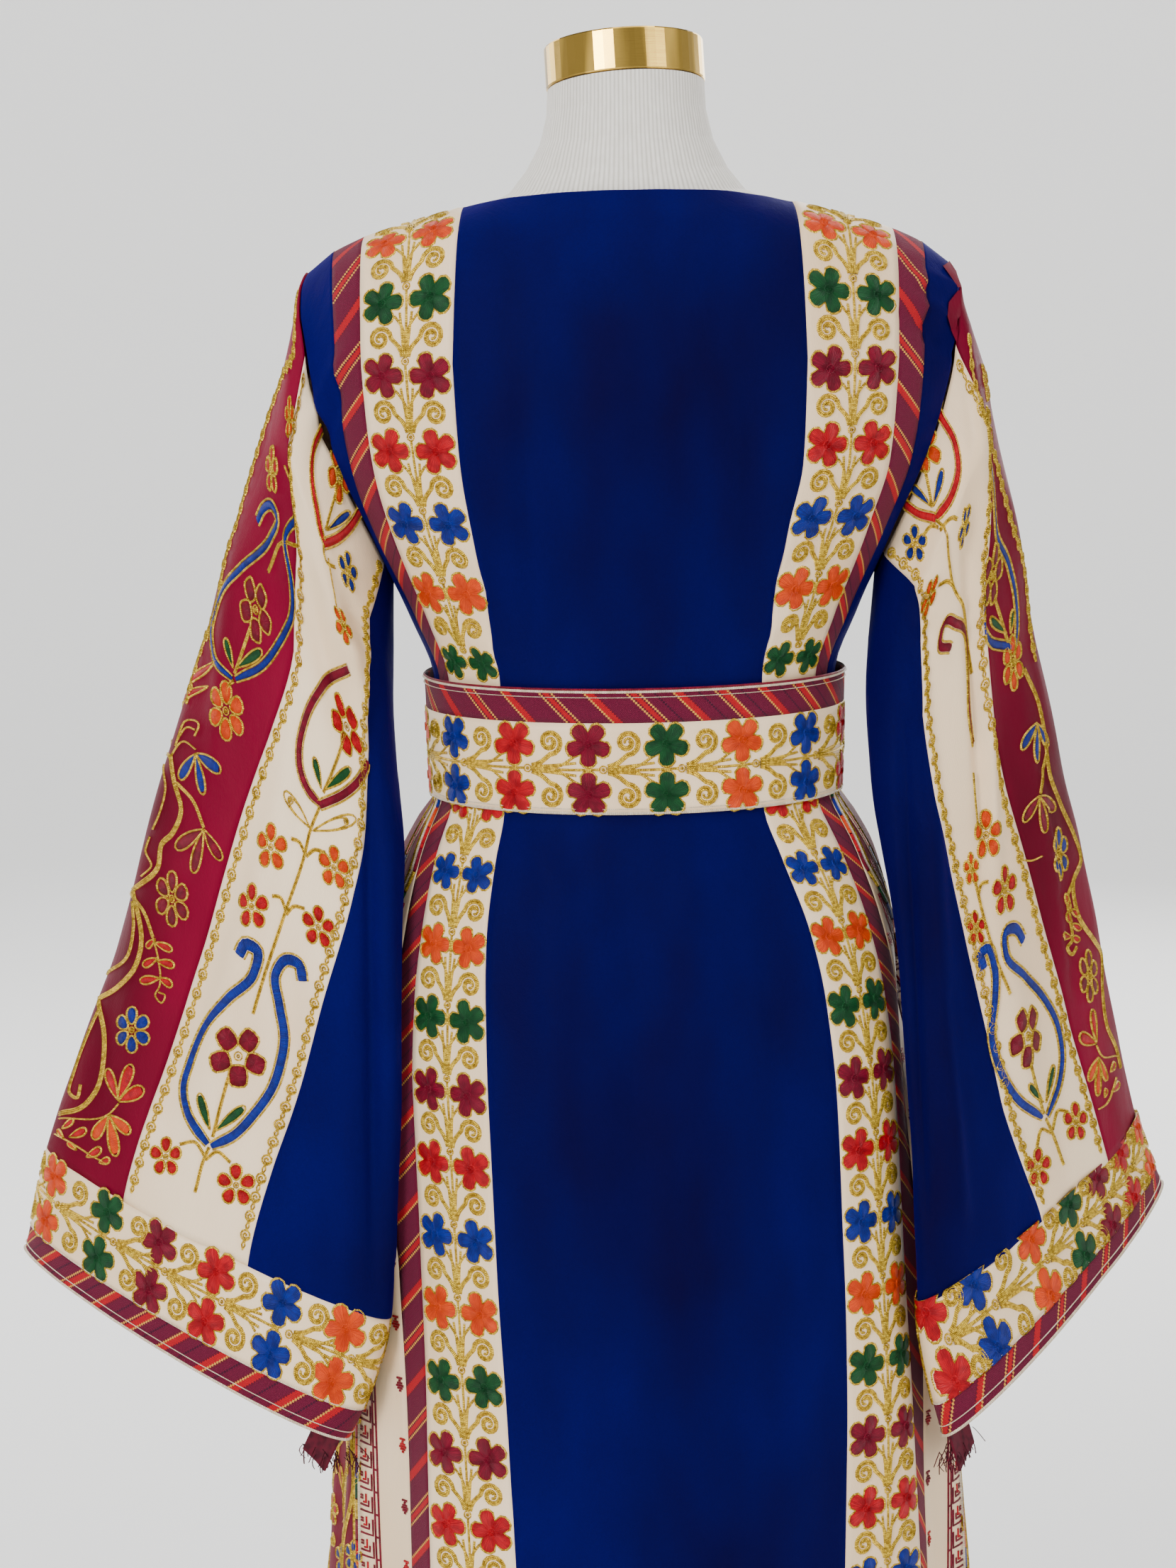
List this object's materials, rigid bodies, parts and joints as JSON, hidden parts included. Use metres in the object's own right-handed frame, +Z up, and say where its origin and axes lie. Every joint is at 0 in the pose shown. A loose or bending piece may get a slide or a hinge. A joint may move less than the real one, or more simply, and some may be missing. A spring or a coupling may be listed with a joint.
{
  "type": "thobe dress with belt on limbless dress form",
  "caption": "Long-sleeved panelled ceremonial thobe dress with a wide belt, worn on a limbless dress form with a round-base stand.",
  "frame": {"origin": "middle of the underside of the round base", "axes": "+Z up, +X to the right in the picture, -Y towards the pictured side, which is the back of the dress"},
  "size_m": [0.7881, 0.4281, 1.542],
  "materials": {
    "back_centre": "deep navy blue cotton velvet, soft sheen",
    "front_centre": "deep navy blue cotton velvet, soft sheen",
    "cream_band_back_l": "cream satin with hand embroidery",
    "stripe_band_back_l": "burgundy and gold cross-stitch in slanting stripes",
    "key_panel_back_l": "cream satin with hand embroidery",
    "cream_band_front_l": "cream satin with hand embroidery",
    "stripe_band_front_l": "burgundy and gold cross-stitch in slanting stripes",
    "key_panel_front_l": "cream satin with hand embroidery",
    "side_panel_l": "burgundy satin with couched gold cord",
    "bodice_side_l": "deep navy blue cotton velvet, soft sheen",
    "sleeve_top_l": "burgundy satin with couched gold cord",
    "sleeve_cream_back_l": "cream satin with hand embroidery",
    "sleeve_cream_front_l": "cream satin with hand embroidery",
    "sleeve_gore_l": "deep navy blue cotton velvet, soft sheen",
    "cuff_cream_l": "cream satin with hand embroidery",
    "cuff_stripe_l": "burgundy and gold cross-stitch in slanting stripes",
    "seam_tail_l": "burgundy satin with couched gold cord",
    "cream_band_back_r": "cream satin with hand embroidery",
    "stripe_band_back_r": "burgundy and gold cross-stitch in slanting stripes",
    "key_panel_back_r": "cream satin with hand embroidery",
    "cream_band_front_r": "cream satin with hand embroidery",
    "stripe_band_front_r": "burgundy and gold cross-stitch in slanting stripes",
    "key_panel_front_r": "cream satin with hand embroidery",
    "side_panel_r": "burgundy satin with couched gold cord",
    "bodice_side_r": "deep navy blue cotton velvet, soft sheen",
    "sleeve_top_r": "burgundy satin with couched gold cord",
    "sleeve_cream_back_r": "cream satin with hand embroidery",
    "sleeve_cream_front_r": "cream satin with hand embroidery",
    "sleeve_gore_r": "deep navy blue cotton velvet, soft sheen",
    "cuff_cream_r": "cream satin with hand embroidery",
    "cuff_stripe_r": "burgundy and gold cross-stitch in slanting stripes",
    "seam_tail_r": "burgundy satin with couched gold cord",
    "belt_cream": "cream satin with hand embroidery",
    "belt_stripe": "burgundy and gold cross-stitch in slanting stripes",
    "form_torso": "off-white ribbed linen, stretched smooth",
    "form_neck_cap": "polished, gold coloured",
    "form_pole": "satin brushed",
    "form_base": "satin brushed"
  },
  "bodies": {
    "root": {"back_centre": "back_centre", "front_centre": "front_centre", "cream_band_back_l": "cream_band_back_l", "stripe_band_back_l": "stripe_band_back_l", "key_panel_back_l": "key_panel_back_l", "cream_band_front_l": "cream_band_front_l", "stripe_band_front_l": "stripe_band_front_l", "key_panel_front_l": "key_panel_front_l", "side_panel_l": "side_panel_l", "bodice_side_l": "bodice_side_l", "sleeve_top_l": "sleeve_top_l", "sleeve_cream_back_l": "sleeve_cream_back_l", "sleeve_cream_front_l": "sleeve_cream_front_l", "sleeve_gore_l": "sleeve_gore_l", "cuff_cream_l": "cuff_cream_l", "cuff_stripe_l": "cuff_stripe_l", "seam_tail_l": "seam_tail_l", "cream_band_back_r": "cream_band_back_r", "stripe_band_back_r": "stripe_band_back_r", "key_panel_back_r": "key_panel_back_r", "cream_band_front_r": "cream_band_front_r", "stripe_band_front_r": "stripe_band_front_r", "key_panel_front_r": "key_panel_front_r", "side_panel_r": "side_panel_r", "bodice_side_r": "bodice_side_r", "sleeve_top_r": "sleeve_top_r", "sleeve_cream_back_r": "sleeve_cream_back_r", "sleeve_cream_front_r": "sleeve_cream_front_r", "sleeve_gore_r": "sleeve_gore_r", "cuff_cream_r": "cuff_cream_r", "cuff_stripe_r": "cuff_stripe_r", "seam_tail_r": "seam_tail_r", "belt_cream": "belt_cream", "belt_stripe": "belt_stripe", "form_torso": "form_torso", "form_neck_cap": "form_neck_cap", "form_pole": "form_pole", "form_base": "form_base"}
  },
  "joints": []
}
